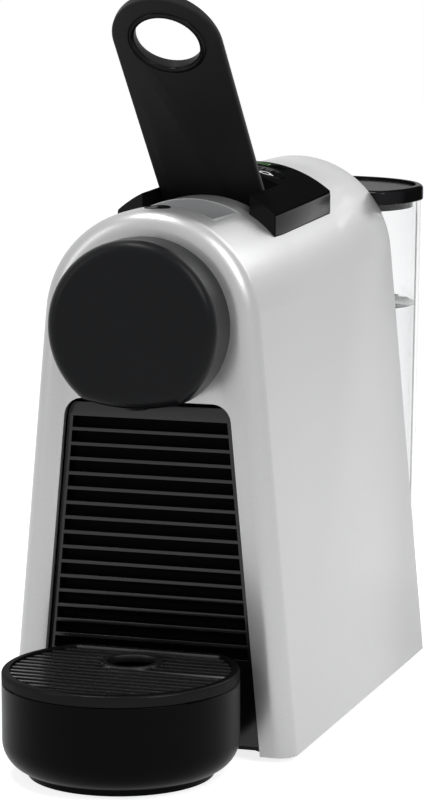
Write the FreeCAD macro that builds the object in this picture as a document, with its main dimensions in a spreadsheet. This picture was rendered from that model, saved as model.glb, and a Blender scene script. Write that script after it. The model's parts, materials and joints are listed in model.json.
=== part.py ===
import FreeCAD, Part
import Sketcher
import math
import os
import re

# A pod coffee machine. X is across, +Y runs from the drip tray back to the
# water tank, +Z is up. The origin is on the counter, in the middle of the
# whole outline. Places along Y are given from the body's front plane.

doc = FreeCAD.newDocument("pod_machine")
sheet = doc.addObject("Spreadsheet::Sheet", "dims")

# Driving dimensions, in millimetres and degrees.
driving = {
    # silver body
    "body_width": 110.0,
    "body_depth": 183.4,
    "lean_angle": 5.2,
    "arch_height": 156.7,
    "hump_height": 163.4,
    "deck_height": 159.3,
    "hump_end": 152.0,
    "shell_bottom": 1.9,
    "shell_wall": 2.4,
    "front_round": 7.0,
    "rear_plate": 3.0,
    "base_plate_thick": 2.4,
    "foot_radius": 7.0,
    "foot_inset": 14.0,
    "foot_front": 20.0,
    "foot_back": 16.0,
    "foot_rear": 26.0,
    "cut_past": 5.0,
    # front opening and the drawer behind it
    "frame_width": 12.3,
    "opening_top": 129.0,
    "opening_round": 7.0,
    "drawer_gap": 0.35,
    "panel_setback": 3.0,
    "panel_thick": 8.0,
    "panel_drop": 1.8,
    "panel_border": 2.2,
    "louver_pitch": 5.44,
    "louver_count": 16,
    "louver_first": 122.5,
    "louver_depth": 5.0,
    "louver_land": 1.0,
    "louver_fall": 0.7,
    "bin_width": 56.0,
    "bin_length": 80.0,
    "bin_top": 112.0,
    "bin_wall": 2.0,
    "sled_thick": 2.0,
    "sled_margin": 8.0,
    "tongue_width": 36.0,
    "tongue_reach": 15.0,
    "tongue_gap": 0.4,
    # drip tray
    "tray_centre": 28.2,
    "tray_radius": 42.1,
    "tray_top": 38.0,
    "grid_height": 4.2,
    "tray_wall": 2.2,
    "tray_floor": 9.0,
    "tray_gap": 0.5,
    "tray_foot": 0.5,
    "foot_step": 2.0,
    "tray_lift": 2.4,
    "tray_round": 11.0,
    "seam_round": 0.6,
    "bar_pitch": 4.6,
    "bar_width": 1.7,
    "bar_count": 15,
    "bar_depth": 2.6,
    "grid_rim": 2.8,
    "grid_recess": 0.8,
    "grid_hole": 9.0,
    "grid_hole_wall": 2.0,
    # brew head
    "drum_radius": 31.6,
    "drum_reach": 19.1,
    "drum_drop": 28.3,
    "belly_radius": 66.0,
    "cap_thick": 14.0,
    "cap_round": 4.5,
    "drum_step": 0.3,
    "spigot_radius": 23.0,
    "spigot_reach": 1.6,
    "spout_radius": 4.6,
    "spout_bore": 2.8,
    "spout_drop": 0.7,
    "spout_seat": 6.0,
    "spout_place": 10.6,
    "spout_taper": 0.5,
    "spout_lip": 0.6,
    "outlet_radius": 3.0,
    # brew unit
    "brew_drop": 8.0,
    "plate_face": 28.8,
    "plate_radius": 18.0,
    "cage_radius": 20.5,
    "cage_bore": 17.5,
    "cage_depth": 24.0,
    "cage_length": 31.0,
    "cage_open": 41.0,
    "frame_inside": 21.5,
    "frame_thick": 3.5,
    "frame_back": 90.0,
    "frame_rim": 3.0,
    "disc_thick": 3.0,
    "disc_gap": 0.3,
    "needle_radius": 1.6,
    "needle_tip": 0.3,
    "needle_length": 6.0,
    "needle_circle": 6.0,
    # capsule slot
    "slot_front": 20.0,
    "slot_length": 28.0,
    "slot_width": 36.0,
    "liner_wall": 1.3,
    "liner_depth": 24.0,
    # lever
    "lever_open": 49.0,
    "lever_rise": 24.0,
    "lever_width": 41.2,
    "lever_thick": 4.2,
    "lever_reach": 86.5,
    "lever_hole": 12.3,
    "lever_tail": 9.5,
    "crown_ratio": 2.3,
    "lever_round": 1.0,
    "lever_clear": 0.9,
    "hinge_place": 61.3,
    "hinge_radius": 3.0,
    "hinge_gap": 0.05,
    "hub_radius": 5.0,
    "cheek_inside": 9.5,
    "cheek_thick": 4.5,
    "crank_length": 13.0,
    "crank_radius": 2.0,
    "crank_gap": 0.12,
    "boss_radius": 4.0,
    "skirt_radius": 25.0,
    "skirt_thick": 4.4,
    "skirt_sweep": 54.0,
    "skirt_start": 15.0,
    "yoke_width": 16.0,
    "yoke_length": 10.0,
    "yoke_rim": 3.0,
    "yoke_play": 1.0,
    # control deck
    "deck_width": 61.2,
    "deck_front": 54.6,
    "deck_back": 127.0,
    "deck_rise": 5.9,
    "deck_slope": 2.1,
    "deck_round": 0.9,
    "deck_gap": 0.3,
    "notch_front": 65.5,
    "notch_back": 91.5,
    "button_radius": 7.8,
    "button_spread": 11.0,
    "button_place": 103.0,
    "button_gap": 0.3,
    "button_proud": 0.5,
    "button_travel": 1.2,
    "stem_radius": 3.0,
    "stem_gap": 0.2,
    "stem_overlap": 2.0,
    "key_depth": 5.0,
    "lens_length": 30.0,
    "lens_width": 4.0,
    "lens_place": 119.0,
    "lens_proud": 0.2,
    "board_height": 182.0,
    "board_thick": 1.6,
    "board_width": 44.0,
    "board_length": 34.0,
    "post_radius": 2.2,
    "post_inset": 1.0,
    "post_front": 30.0,
    "post_back": 4.0,
    "switch_size": 7.0,
    "switch_height": 3.2,
    # water tank
    "tank_offset": 26.8,
    "lid_radius": 44.7,
    "lid_height": 189.6,
    "lid_thick": 5.7,
    "lid_rim": 3.0,
    "lid_dish": 1.0,
    "lid_round": 1.6,
    "lid_plug": 3.0,
    "lid_gap": 0.4,
    "lid_step": 1.0,
    "plug_wall": 2.0,
    "plug_draft": 0.2,
    "flat_draft": 0.01,
    "tank_top_radius": 44.0,
    "tank_foot_radius": 41.8,
    "tank_wall": 2.2,
    "tank_gap": 0.8,
    "dock_height": 20.0,
    "dock_inset": 1.2,
    "socket_radius": 12.0,
    "socket_wall": 2.6,
    "neck_radius": 8.0,
    "neck_length": 8.0,
    "neck_wall": 2.0,
    "neck_gap": 0.4,
    "stopper_radius": 4.5,
    "stopper_height": 9.0,
    "seal_height": 1.2,
    "seal_reach": 1.4,
    "flange_reach": 2.0,
    "flange_thick": 2.3,
    "throat_top": 6.0,
    # works inside
    "wall_place": 94.0,
    "wall_thick": 3.0,
    "wall_width": 76.0,
    "boiler_width": 60.0,
    "boiler_length": 52.0,
    "boiler_bottom": 95.0,
    "boiler_height": 50.0,
    "heater_radius": 4.5,
    "heater_end": 6.0,
    "stat_radius": 7.0,
    "stat_height": 6.0,
    "pump_radius": 17.0,
    "pump_length": 34.0,
    "pump_place": 108.0,
    "pump_height": 45.0,
    "coil_size": 40.0,
    "coil_length": 20.0,
    "mount_thick": 4.0,
    "mount_width": 10.0,
    "tube_radius": 3.0,
    "tube_bend": 8.0,
    "tube_entry": 10.0,
    "meter_size": 16.0,
    "meter_place": 150.0,
    "tube_height": 11.0,
    "gland_radius": 6.5,
    "gland_reach": 5.0,
    "gland_collar": 1.5,
    "gland_wall": 3.0,
    "screw_head": 3.2,
    "screw_head_thick": 1.5,
    "screw_shank": 1.5,
    "screw_length": 12.0,
    "screw_low": 28.0,
    "screw_high": 128.0,
    "screw_inset": 5.0,
    "power_width": 60.0,
    "power_height": 80.0,
    "power_bottom": 58.0,
    "power_thick": 2.0,
    "spacer_length": 5.0,
    "spacer_radius": 3.0,
    "spacer_inset": 5.0,
}

# Places worked out from the driving dimensions.
front_y = "((tray_centre + tray_radius - body_depth - tank_offset - lid_radius) / 2)"
half_width = "(body_width / 2)"
base_top = "(shell_bottom + base_plate_thick)"
arch_radius = f"(({half_width} - arch_height * tan(lean_angle)) * cos(lean_angle))"
deck_radius = f"({arch_radius} + deck_rise)"
deck_high = f"({deck_radius} + deck_slope)"
belly_low = "(arch_height - drum_drop)"
spout_top = f"({belly_low} + spout_seat)"
spout_y = "(-spout_place)"
lever_crown = "(crown_ratio * lever_width)"
panel_back = "(panel_setback + panel_thick)"
sled_bottom = f"({base_top} + drawer_gap)"
sled_top = f"({sled_bottom} + sled_thick)"
bin_back = f"({panel_back} + bin_length)"
tray_back = "(panel_setback - tray_gap)"
seam_height = "(tray_top - grid_height)"
brew_height = "(arch_height - brew_drop)"
frame_outside = "(frame_inside + frame_thick)"
hinge_height = f"(arch_height + {arch_radius} + lever_clear - lever_rise)"
crank_y = "(crank_length * sin(lever_open / 2))"
crank_z = "(crank_length * cos(lever_open / 2))"
slot_back = "(slot_front + slot_length)"
tank_y = "(body_depth + tank_offset)"
tank_front = "(body_depth + tank_gap)"
tank_top = "(lid_height - lid_thick)"
cheek_outside = "(cheek_inside + cheek_thick)"
wall_back = "(wall_place + wall_thick)"
board_top = "(board_height + board_thick)"
spigot_back = "(shell_wall + spigot_reach)"
key_low = f"(arch_height + {arch_radius} - key_depth)"
gland_x = f"-({half_width} - shell_wall - gland_radius - gland_collar)"
gland_z = "(gland_radius * 2)"
screw_front = "(body_depth - screw_head_thick)"
heater_z = "(boiler_bottom + boiler_height / 2)"
heater_places = ("-boiler_width / 4", "boiler_width / 4")
boiler_inlet = f"({wall_back} + tube_bend - tube_radius)"
boiler_top = "(boiler_bottom + boiler_height)"
coil_front = "(pump_place + pump_length / 2 - coil_length / 2)"
coil_back = f"({coil_front} + coil_length)"
neck_low = "(dock_height - neck_length)"
tank_floor = "(dock_height + tank_wall)"
hole_place = "(-tray_centre + bar_pitch * 2.5)"
at_hinge = "0"
high = 400  # longer than any piece, for solids that cut right through


def fill_sheet():
    for row, (name, value) in enumerate(driving.items(), start=1):
        sheet.set(f"A{row}", name)
        sheet.set(f"B{row}", str(value))
        sheet.setAlias(f"B{row}", name)
    doc.recompute()


def bound(text):
    return re.sub(r"[a-z]+(_[a-z]+)+", lambda word: "dims." + word.group(0), str(text))


def size(text):
    return float(sheet.evalExpression(bound(text)))


def bind(item, formulas):
    for name, text in formulas.items():
        item.setExpression(name, bound(text))
    return item


def box(x0, x1, y0, y1, z0, z1, base=front_y):
    item = doc.addObject("Part::Box", "block")
    return bind(item, {
        "Length": f"({x1}) - ({x0})",
        "Width": f"({y1}) - ({y0})",
        "Height": f"({z1}) - ({z0})",
        "Placement.Base.x": x0,
        "Placement.Base.y": f"{base} + {y0}",
        "Placement.Base.z": z0,
    })


def cylinder(axis, radius, length, x, y, z, base=front_y):
    item = doc.addObject("Part::Cylinder", "round_bar")
    turn_axis, turn_angle = {"x": ((0, 1, 0), 90), "y": ((1, 0, 0), -90), "z": ((0, 0, 1), 0)}[axis]
    turn = FreeCAD.Rotation(FreeCAD.Vector(*turn_axis), turn_angle)
    item.Placement = FreeCAD.Placement(FreeCAD.Vector(), turn)
    return bind(item, {
        "Radius": radius,
        "Height": length,
        "Placement.Base.x": x,
        "Placement.Base.y": f"{base} + {y}",
        "Placement.Base.z": z,
    })


def cone(radius_low, radius_high, height, x, y, z):
    item = doc.addObject("Part::Cone", "taper")
    return bind(item, {
        "Radius1": radius_low,
        "Radius2": radius_high,
        "Height": height,
        "Placement.Base.x": x,
        "Placement.Base.y": f"{front_y} + {y}",
        "Placement.Base.z": z,
    })


def fuse(*items):
    item = doc.addObject("Part::MultiFuse", "joined")
    item.Shapes = list(items)
    item.Refine = True
    return item


def common(*items):
    item = doc.addObject("Part::MultiCommon", "shared")
    item.Shapes = list(items)
    return item


def cut(base, *tools):
    item = doc.addObject("Part::Cut", "trimmed")
    item.Base = base
    item.Tool = tools[0] if len(tools) == 1 else fuse(*tools)
    item.Refine = True
    return item


def rounded(base, radius, chosen):
    doc.recompute()
    reach = size(radius)
    picked = [number for number, edge in enumerate(base.Shape.Edges, start=1) if chosen(edge)]
    item = doc.addObject("Part::Fillet", "rounded")
    item.Base = base
    item.Edges = [(number, reach, reach) for number in picked]
    return item


def origin_plane(body, role):
    return [plane for plane in body.Origin.OriginFeatures if plane.Role == role][0]


def polygon(body, role, points):
    sketch = body.newObject("Sketcher::SketchObject", "outline")
    sketch.AttachmentSupport = [(origin_plane(body, role), "")]
    sketch.MapMode = "FlatFace"
    spots = [FreeCAD.Vector(size(across), size(up), 0) for across, up in points]
    count = len(spots)
    for number in range(count):
        sketch.addGeometry(Part.LineSegment(spots[number], spots[(number + 1) % count]), False)
    for number in range(count):
        sketch.addConstraint(Sketcher.Constraint("Coincident", number, 2, (number + 1) % count, 1))
    for number, (across, up) in enumerate(points):
        for kind, text, value in (("DistanceX", across, spots[number].x), ("DistanceY", up, spots[number].y)):
            place = sketch.addConstraint(Sketcher.Constraint(kind, -1, 1, number, 1, value))
            sketch.renameConstraint(place, f"{kind}{number}")
            sketch.setExpression(f"Constraints.{kind}{number}", bound(text))
    return sketch


def prism(role, points, length, x="0", y="0", back=False, base=front_y):
    body = doc.addObject("PartDesign::Body", "prism")
    pad = body.newObject("PartDesign::Pad", "pad")
    pad.Profile = polygon(body, role, points)
    pad.Reversed = back
    bind(pad, {"Length": length})
    return bind(body, {
        "Placement.Base.x": x,
        "Placement.Base.y": f"{base} + {y}",
    })


def turned(points, x, y, z, along_y=False):
    body = doc.addObject("PartDesign::Body", "turned")
    sketch = polygon(body, "XZ_Plane", points)
    spin = body.newObject("PartDesign::Revolution", "spin")
    spin.Profile = sketch
    spin.ReferenceAxis = (sketch, ["V_Axis"])
    spin.Angle = 360
    if along_y:
        turn = FreeCAD.Rotation(FreeCAD.Vector(1, 0, 0), -90)
        body.Placement = FreeCAD.Placement(FreeCAD.Vector(), turn)
    return bind(body, {
        "Placement.Base.x": x,
        "Placement.Base.y": f"{front_y} + {y}",
        "Placement.Base.z": z,
    })


def lean(at):
    return f"({at}) * tan(lean_angle)"


def arch_sketch(height, inset, low, y):
    # One upright section of the body: leaning sides that run on into a round top.
    sketch = doc.addObject("Sketcher::SketchObject", "arch")
    turn = FreeCAD.Rotation(FreeCAD.Vector(1, 0, 0), 90)
    sketch.Placement = FreeCAD.Placement(FreeCAD.Vector(), turn)
    bind(sketch, {"Placement.Base.y": f"{front_y} + {y}"})
    radius = f"(({half_width} - {height} * tan(lean_angle)) * cos(lean_angle) - ({inset}))"
    side = f"{half_width} - {lean(low)} - ({inset}) / cos(lean_angle)"
    reach, top, tilt = size(radius), size(height), math.radians(size("lean_angle"))
    centre = FreeCAD.Vector(0, top, 0)
    arc = Part.ArcOfCircle(Part.Circle(centre, FreeCAD.Vector(0, 0, 1), reach), tilt, math.pi - tilt)
    right_low = FreeCAD.Vector(size(side), size(low), 0)
    left_low = FreeCAD.Vector(-size(side), size(low), 0)
    sketch.addGeometry(Part.LineSegment(left_low, right_low), False)
    sketch.addGeometry(Part.LineSegment(right_low, arc.StartPoint), False)
    sketch.addGeometry(arc, False)
    sketch.addGeometry(Part.LineSegment(arc.EndPoint, left_low), False)
    sketch.addConstraint(Sketcher.Constraint("Coincident", 0, 2, 1, 1))
    sketch.addConstraint(Sketcher.Constraint("Tangent", 1, 2, 2, 1))
    sketch.addConstraint(Sketcher.Constraint("Tangent", 2, 2, 3, 1))
    sketch.addConstraint(Sketcher.Constraint("Coincident", 3, 2, 0, 1))
    named = {
        "left_x": (Sketcher.Constraint("DistanceX", -1, 1, 0, 1, -size(side)), f"-({side})"),
        "left_z": (Sketcher.Constraint("DistanceY", -1, 1, 0, 1, size(low)), low),
        "right_x": (Sketcher.Constraint("DistanceX", -1, 1, 0, 2, size(side)), side),
        "right_z": (Sketcher.Constraint("DistanceY", -1, 1, 0, 2, size(low)), low),
        "centre_z": (Sketcher.Constraint("DistanceY", -1, 1, 2, 3, top), height),
        "radius": (Sketcher.Constraint("Radius", 2, reach), radius),
    }
    sketch.addConstraint(Sketcher.Constraint("PointOnObject", 2, 3, -2))
    for name, (rule, text) in named.items():
        sketch.renameConstraint(sketch.addConstraint(rule), name)
        sketch.setExpression(f"Constraints.{name}", bound(text))
    return sketch


def arch_loft(inset, low, first, last):
    # The body's sections: level in front, a slow rise under the deck, then the hump in front of the tank.
    stations = ((first, "arch_height"), ("notch_front", "arch_height"), ("deck_back", "deck_height"),
                ("hump_end", "hump_height"), (last, "hump_height"))
    item = doc.addObject("Part::Loft", "arch_body")
    item.Sections = [arch_sketch(height, inset, low, y) for y, height in stations]
    item.Solid = True
    item.Ruled = True
    return item


def at_front(edge, y):
    # The edges round the front face, without the one along its foot.
    flat = edge.BoundBox.YMin > y - 0.01 and edge.BoundBox.YMax < y + 0.01
    return flat and edge.BoundBox.ZLength > 1


def arch_solid(inset, low, first, last, radius):
    plain = arch_loft(inset, low, first, last)
    return rounded(plain, radius, lambda edge: at_front(edge, size(f"{front_y} + {first}")))


def opening_outline(gap, low, y0, y1):
    # The front opening's shape, drawn in by a gap, as a solid from y0 to y1.
    side_low = f"{half_width} - frame_width - {lean(low)} - {gap}"
    side_top = f"{half_width} - frame_width - {lean('opening_top')} - {gap}"
    points = [(f"-({side_low})", low), (side_low, low), (side_top, f"opening_top - {gap}"),
              (f"-({side_top})", f"opening_top - {gap}")]
    plain = prism("XZ_Plane", points, f"({y1}) - ({y0})", y=y0, back=True)
    top = size("opening_top") - size(gap)
    corner = lambda edge: edge.BoundBox.YLength > 1 and abs(edge.BoundBox.ZMax - top) < 0.01
    return rounded(plain, f"opening_round - {gap}", lambda edge: corner(edge) and edge.BoundBox.XLength < 1)


def deck_notch():
    side = "lever_width / 2 + deck_gap"
    return box(f"-({side})", side, "notch_front", "notch_back", "arch_height", high)


def deck_posts():
    # Posts under the deck that carry the control board. They end inside the deck's thickness.
    across = "(board_width / 2 - post_radius - post_inset)"
    top = f"arch_height + sqrt({deck_radius} ^ 2 - (board_width / 2) ^ 2) - post_inset"
    return [cylinder("z", "post_radius", f"{top} - {board_top}", f"{side} * {across}", y, board_top)
            for side in (-1, 1) for y in ("deck_back - post_front", "deck_back - post_back")]


def button_holes(radius):
    return [cylinder("z", radius, high, f"{side} * button_spread", "button_place", board_top) for side in (-1, 1)]


def outer_shell():
    whole = arch_solid("0", "shell_bottom", "0", "body_depth", "front_round")
    inside = arch_solid("shell_wall", "shell_bottom - cut_past", "shell_wall", "body_depth + cut_past",
                        "front_round - shell_wall")
    front = opening_outline("0", "shell_bottom - cut_past", "-cut_past", "front_round + cut_past")
    head = cylinder("y", "spigot_radius", "4 * cut_past", "0", "-cut_past", "arch_height")
    slot_side = "slot_width / 2 + liner_wall"
    slot = box(f"-({slot_side})", slot_side, "slot_front - liner_wall", f"{slot_back} + liner_wall",
               "arch_height", high)
    holes = deck_posts() + button_holes("button_radius + button_gap")
    return cut(whole, inside, front, head, slot, deck_notch(), *holes)


def base_plate():
    side_low = f"{half_width} - {lean('shell_bottom')} - shell_wall / cos(lean_angle)"
    side_top = f"{half_width} - {lean(base_top)} - shell_wall / cos(lean_angle)"
    points = [(f"-({side_low})", "shell_bottom"), (side_low, "shell_bottom"), (side_top, base_top),
              (f"-({side_top})", base_top)]
    start = "front_round + shell_wall / 2"
    return prism("XZ_Plane", points, f"body_depth - ({start})", y=start, back=True)


def feet():
    across = f"{half_width} - foot_inset"
    places = [(f"{side} * ({across})", y) for side in (-1, 1) for y in ("foot_front", "body_depth - foot_back")]
    places.append(("0", f"{tank_y} + foot_rear"))
    return [cylinder("z", "foot_radius", "shell_bottom", x, y, "0") for x, y in places]


def screw_places():
    spots = []
    for z in ("screw_low", "screw_high"):
        across = f"{half_width} - {lean(z)} - shell_wall - screw_inset"
        spots += [(f"{side} * ({across})", z) for side in (-1, 1)]
    return spots


def rear_cover():
    outline = doc.addObject("Part::Extrusion", "plate")
    outline.Base = arch_sketch("hump_height", "shell_wall", base_top, "body_depth - rear_plate")
    outline.DirMode = "Custom"
    outline.Dir = FreeCAD.Vector(0, 1, 0)
    outline.Solid = True
    bind(outline, {"LengthFwd": "rear_plate"})
    inside = "body_depth - rear_plate - cut_past"
    holes = [cylinder("y", "screw_head", high, x, screw_front, z) for x, z in screw_places()]
    holes += [cylinder("y", "screw_shank", high, x, inside, z) for x, z in screw_places()]
    holes.append(cylinder("y", "tube_radius", high, "0", inside, "tube_height"))
    holes.append(cylinder("y", "gland_radius", high, gland_x, inside, gland_z))
    return cut(outline, *holes)


def screws():
    items = []
    for x, z in screw_places():
        head = cylinder("y", "screw_head", "screw_head_thick", x, screw_front, z)
        shank = cylinder("y", "screw_shank", "screw_length", x, f"{screw_front} - screw_length", z)
        items.append(fuse(head, shank))
    return items


def cord_gland():
    through = cylinder("y", "gland_radius", "rear_plate", gland_x, "body_depth - rear_plate", gland_z)
    collar = cylinder("y", "gland_radius + gland_collar", "gland_reach", gland_x, "body_depth", gland_z)
    bore = cylinder("y", "gland_radius - gland_wall", high, gland_x, "0", gland_z)
    return cut(fuse(through, collar), bore)


def head_belly():
    # The head's underside is part of a wider round than its front.
    return cylinder("y", "belly_radius", 2 * high, "0", -high, f"{belly_low} + belly_radius")


def head_housing():
    reach = "drum_reach - cap_thick"
    drum = cylinder("y", "drum_radius - drum_step", reach, "0", f"-({reach})", "arch_height")
    spigot = cylinder("y", "spigot_radius", spigot_back, "0", "0", "arch_height")
    return common(fuse(drum, spigot), head_belly())


def head_cap():
    disc = common(cylinder("y", "drum_radius", "cap_thick", "0", "-drum_reach", "arch_height"), head_belly())
    front = size(f"{front_y} - drum_reach")
    soft = rounded(disc, "cap_round", lambda edge: abs(edge.BoundBox.YMax - front) < 0.01)
    return cut(soft, cylinder("z", "spout_radius", spout_top, "0", spout_y, "0"))


def coffee_spout():
    # A nozzle that sits in a pocket of the cap.
    low = f"{belly_low} - spout_drop"
    points = [("spout_bore", low), ("spout_radius - spout_taper", low), ("spout_radius", f"{low} + spout_lip"),
              ("spout_radius", spout_top), ("spout_bore", spout_top)]
    return turned(points, "0", spout_y, "0")


def extraction_plate():
    disc = cylinder("y", "plate_radius", f"plate_face - {spigot_back}", "0", spigot_back, brew_height)
    channel = cylinder("y", "outlet_radius", high, "0", "0", brew_height)
    return cut(disc, channel)


def brew_frame():
    low = "opening_top + frame_rim / 3"
    top = f"{hinge_height} + hinge_radius + frame_rim"
    plates = [box(x0, x1, spigot_back, "frame_back", low, top)
              for x0, x1 in ((f"-{frame_outside}", "-frame_inside"), ("frame_inside", frame_outside))]
    bridge = box(f"-{frame_outside}", frame_outside, "frame_back", "wall_place", low, boiler_top)
    front = box(f"-{frame_outside}", frame_outside, spigot_back, "slot_front - frame_rim", low, brew_height)
    pins = cylinder("x", "hinge_radius + hinge_gap", f"4 * {frame_outside}", f"-2 * {frame_outside}", "hinge_place",
                    hinge_height)
    seat = cylinder("y", "plate_radius", "frame_back", "0", "0", brew_height)
    return cut(fuse(*plates, bridge, front), pins, seat)


def capsule_chute():
    side, wall = "slot_width / 2", "liner_wall"
    low = f"arch_height + {arch_radius} - liner_depth"
    outer = box(f"-({side} + {wall})", f"{side} + {wall}", f"slot_front - {wall}", f"{slot_back} + {wall}", low, high)
    inner = box(f"-({side})", side, "slot_front", slot_back, "arch_height", 2 * high)
    return common(cut(outer, inner), arch_loft("lens_proud", "shell_bottom", "0", "body_depth"))


def deck_crown(rise):
    # The deck's round top, which climbs a little from front to back.
    item = doc.addObject("Part::Cone", "crown")
    turn = FreeCAD.Rotation(FreeCAD.Vector(1, 0, 0), -90)
    item.Placement = FreeCAD.Placement(FreeCAD.Vector(), turn)
    return bind(item, {
        "Radius1": f"{deck_radius} + {rise}",
        "Radius2": f"{deck_high} + {rise}",
        "Height": "deck_back - deck_front",
        "Placement.Base.y": f"{front_y} + deck_front",
        "Placement.Base.z": "arch_height",
    })


def top_deck():
    slab = common(deck_crown("0"), box("-deck_width / 2", "deck_width / 2", "deck_front", "deck_back", "arch_height",
                                       high))
    side, level = size("deck_width / 2"), size("arch_height")
    long_edge = lambda edge: edge.BoundBox.YLength > edge.BoundBox.ZLength and edge.BoundBox.ZMin > level + 0.01
    soft = rounded(slab, "deck_round", lambda edge: long_edge(edge) and abs(edge.CenterOfMass.x) > side - 0.01)
    channel_side = "lever_width / 2 + deck_gap"
    channel = box(f"-({channel_side})", channel_side, "0", "notch_back", "arch_height", high)
    body = cut(soft, arch_loft("0", "shell_bottom", "0", "body_depth"), channel, lens_block("arch_height"))
    holes = button_holes("button_radius + button_gap")
    return cut(fuse(body, *deck_posts()), *holes)


def lens_block(low):
    return box("-lens_length / 2", "lens_length / 2", "lens_place - lens_width / 2", "lens_place + lens_width / 2",
               low, high)


def status_lens():
    window = common(lens_block("arch_height"), deck_crown("lens_proud"))
    return cut(window, arch_loft("0", "shell_bottom", "0", "body_depth"))


def control_board():
    return box("-board_width / 2", "board_width / 2", "deck_back - board_length", "deck_back", "board_height",
               board_top)


def switches():
    half = "switch_size / 2"
    return [box(f"{side} * button_spread - {half}", f"{side} * button_spread + {half}", f"button_place - {half}",
                f"button_place + {half}", board_top, f"{board_top} + switch_height") for side in (-1, 1)]


def buttons():
    items = []
    for side in (-1, 1):
        x = f"{side} * button_spread"
        stem_low = f"({board_top} + switch_height + button_travel + stem_gap)"
        key = cylinder("z", "button_radius", high, x, "button_place", key_low)
        stem = cylinder("z", "stem_radius", f"{key_low} + stem_overlap - {stem_low}", x, "button_place", stem_low)
        items.append(fuse(common(key, deck_crown("button_proud")), stem))
    return items


def inner_wall():
    return box("-wall_width / 2", "wall_width / 2", "wall_place", wall_back, base_top, boiler_top)


def boiler_block():
    side = "boiler_width / 2"
    block = box(f"-({side})", side, wall_back, f"{wall_back} + boiler_length", "boiler_bottom",
                boiler_top)
    bores = [cylinder("y", "heater_radius", high, x, wall_back, heater_z) for x in heater_places]
    outlet = cylinder("z", "tube_radius", "tube_entry + cut_past", "0", boiler_inlet, "boiler_bottom - cut_past")
    return cut(block, *bores, outlet)


def heaters():
    length = "boiler_length + heater_end"
    return [cylinder("y", "heater_radius", length, x, wall_back, heater_z) for x in heater_places]


def thermostats():
    middle = f"{wall_back} + boiler_length / 2"
    return [cylinder("z", "stat_radius", "stat_height", x, middle, boiler_top) for x in heater_places]


def pump_body():
    return cylinder("y", "pump_radius", "pump_length", "0", "pump_place", "pump_height")


def pump_coil():
    half = "coil_size / 2"
    block = box(f"-{half}", half, coil_front, coil_back, f"pump_height - {half}", f"pump_height + {half}")
    return cut(block, pump_body())


def pump_mounts():
    top = "pump_height - coil_size / 2"
    items = []
    for side in (-1, 1):
        middle = f"{side} * coil_size / 4"
        items.append(box(f"{middle} - mount_width / 2", f"{middle} + mount_width / 2", coil_front, coil_back,
                         f"{top} - mount_thick", top))
    return items


def pump_stand():
    top = "pump_height - coil_size / 2 - mount_thick"
    return box("-coil_size / 2", "coil_size / 2", coil_front, coil_back, base_top, top)


def flow_meter():
    half = "meter_size / 2"
    return box(f"-{half}", half, "meter_place", "meter_place + meter_size", base_top, f"{base_top} + meter_size")


def power_board():
    half = "power_width / 2"
    back = "body_depth - rear_plate"
    face = f"{back} - spacer_length"
    board = box(f"-{half}", half, f"{face} - power_thick", face, "power_bottom", "power_bottom + power_height")
    heights = ("power_bottom + spacer_inset", "power_bottom + power_height - spacer_inset")
    spacers = [cylinder("y", "spacer_radius", "spacer_length", f"{side} * ({half} - spacer_inset)", face, z)
               for side in (-1, 1) for z in heights]
    return fuse(board, *spacers)


def bent_tube(start_y, start_z, corner_y, end_z):
    # A straight run along Y, one round bend, then a straight run up or down.
    y0, y1 = size(f"{front_y} + {start_y}"), size(f"{front_y} + {corner_y}")
    z0, z1 = size(start_z), size(end_z)
    bend = size("tube_bend")
    along = 1 if y1 > y0 else -1
    upward = 1 if z1 > z0 else -1
    spot = lambda y, z: FreeCAD.Vector(0, y, z)
    before, after = spot(y1 - along * bend, z0), spot(y1, z0 + upward * bend)
    short = bend * (1 - math.sqrt(0.5))
    middle = spot(y1 - along * short, z0 + upward * short)
    path = Part.Wire([Part.LineSegment(spot(y0, z0), before).toShape(), Part.Arc(before, middle, after).toShape(),
                      Part.LineSegment(after, spot(y1, z1)).toShape()])
    ring = Part.Wire([Part.makeCircle(size("tube_radius"), spot(y0, z0), FreeCAD.Vector(0, along, 0))])
    item = doc.addObject("Part::Feature", "bent_tube")
    item.Shape = path.makePipeShell([ring], True, False)
    return item


def pump_feed():
    return bent_tube("pump_place + pump_length", "pump_height", "meter_place + meter_size / 2",
                     f"{base_top} + meter_size")


def boiler_feed():
    return bent_tube("pump_place", "pump_height", boiler_inlet, "boiler_bottom + tube_entry")


def tank_feed():
    length = f"{tank_y} - socket_radius - meter_place - meter_size"
    bar = cylinder("y", "tube_radius", f"{length} + socket_radius / 2", "0", "meter_place + meter_size",
                   "tube_height")
    return cut(bar, cylinder("z", "socket_radius", high, "0", tank_y, "0"))


def tank_outline(radius_low, radius_high, low, top, front):
    height = f"({top}) - ({low})"
    whole = cone(radius_low, radius_high, height, "0", tank_y, low)
    return cut(whole, box(-high, high, "0", front, -high, high))


def upright(edge):
    # The two tall corners where the tank's flat front meets its round back.
    near_front = edge.CenterOfMass.y < size(f"{front_y} + {tank_front} + 4 * tank_wall")
    return near_front and edge.BoundBox.ZLength > 2 and edge.BoundBox.XLength < 6


def tank_dock():
    radius = "tank_foot_radius - dock_inset"
    block = tank_outline(radius, f"{radius} + flat_draft", "shell_bottom", "dock_height", "body_depth")
    cup = cylinder("z", "socket_radius", high, "0", tank_y, "0")
    feed = cylinder("y", "tube_radius", tank_y, "0", "0", "tube_height")
    return cut(block, cup, feed)


def valve_socket():
    low = "tube_height - tube_radius - neck_wall"
    outer = cylinder("z", "socket_radius", f"dock_height - ({low})", "0", tank_y, low)
    bore = cylinder("z", "neck_radius + neck_gap", high, "0", tank_y, f"{low} + socket_wall")
    feed = cylinder("y", "tube_radius", "socket_radius", "0", f"{tank_y} - 2 * socket_radius + tube_radius / 2",
                    "tube_height")
    return cut(outer, bore, feed)


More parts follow.
